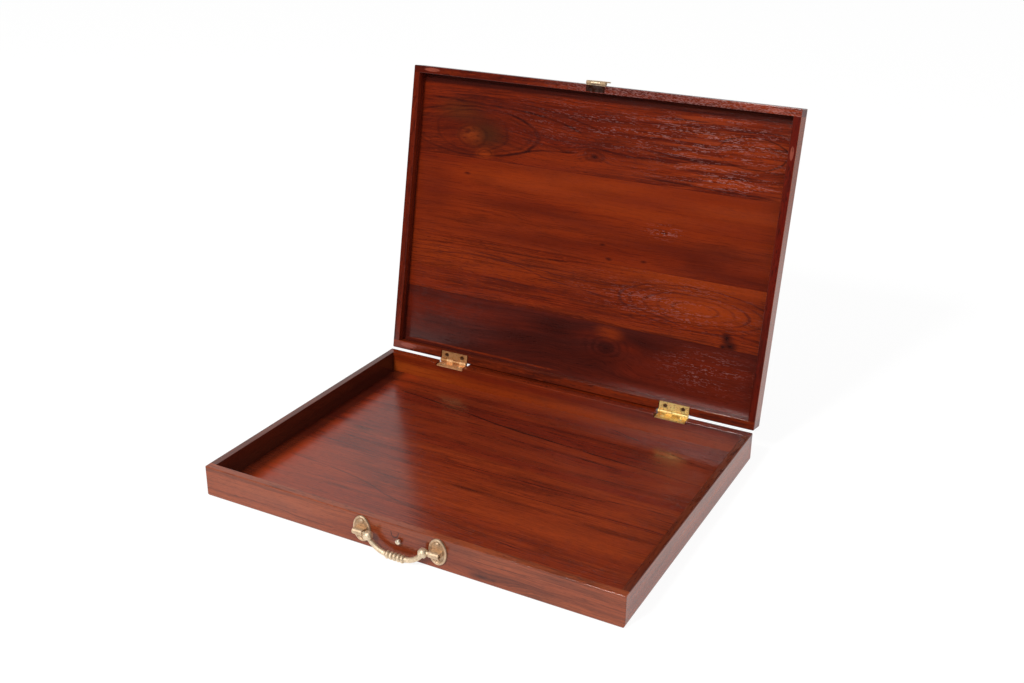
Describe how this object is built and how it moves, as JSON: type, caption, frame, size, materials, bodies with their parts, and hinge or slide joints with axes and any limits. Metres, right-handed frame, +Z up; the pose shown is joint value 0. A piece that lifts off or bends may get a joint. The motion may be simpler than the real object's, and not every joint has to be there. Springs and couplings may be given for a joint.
{
  "type": "ditty box",
  "caption": "Shallow varnished hardwood box for papers and keepsakes, with a hinged lid standing open, a brass hasp and stud, and a swinging brass bail handle on the front.",
  "frame": {"origin": "middle of the base's underside", "axes": "+X to the right seen from the front, along the box's width; +Y from the front to the hinges; +Z up"},
  "size_m": [0.45, 0.4305, 0.3661],
  "materials": {
    "base_wood": "glossy varnish over red-brown figured hardwood",
    "lid_wood": "glossy varnish over red-brown figured hardwood",
    "hinge_brass": "polished, lightly tarnished",
    "hasp_brass": "aged, satin",
    "handle_brass": "pale polished"
  },
  "bodies": {
    "base": {"base_front_wall": "base_wood", "base_back_wall": "base_wood", "base_left_wall": "base_wood", "base_right_wall": "base_wood", "bottom_board_1": "base_wood", "bottom_board_2": "base_wood", "bottom_board_3": "base_wood", "stop_batten": "base_wood", "left_hinge_base_leaf": "hinge_brass", "left_hinge_pin": "hinge_brass", "right_hinge_base_leaf": "hinge_brass", "right_hinge_pin": "hinge_brass", "hinge_base_screws": "hinge_brass", "handle_plate_left": "handle_brass", "handle_plate_right": "handle_brass", "handle_plate_screws": "handle_brass", "catch_stud": "handle_brass"},
    "lid": {"lid_front_wall": "lid_wood", "lid_back_wall": "lid_wood", "lid_left_wall": "lid_wood", "lid_right_wall": "lid_wood", "lid_board_1": "lid_wood", "lid_board_2": "lid_wood", "lid_board_3": "lid_wood", "lid_board_4": "lid_wood", "left_hinge_lid_leaf": "hinge_brass", "right_hinge_lid_leaf": "hinge_brass", "hinge_lid_screws": "hinge_brass", "hasp_leaf": "hasp_brass", "hasp_pin": "hasp_brass", "hasp_screws": "hasp_brass"},
    "flap": {"hasp_flap": "hasp_brass"},
    "bail": {"handle_bail": "handle_brass"}
  },
  "joints": [
    {"name": "lid_hinge", "type": "hinge", "parent": "base", "child": "lid", "pos_m": [0, 0.1679, 0.03325], "axis": [-1, 0, 0], "range_deg": [-100.7, 0]},
    {"name": "hasp_hinge", "type": "hinge", "parent": "lid", "child": "flap", "pos_m": [0.002, 0.23127, 0.36404], "axis": [1, 0, 0], "range_deg": [0, 180]},
    {"name": "bail_pivot", "type": "hinge", "parent": "base", "child": "bail", "pos_m": [0.0019, -0.1735, 0.0191], "axis": [-1, 0, 0], "range_deg": [-11, 170]}
  ]
}
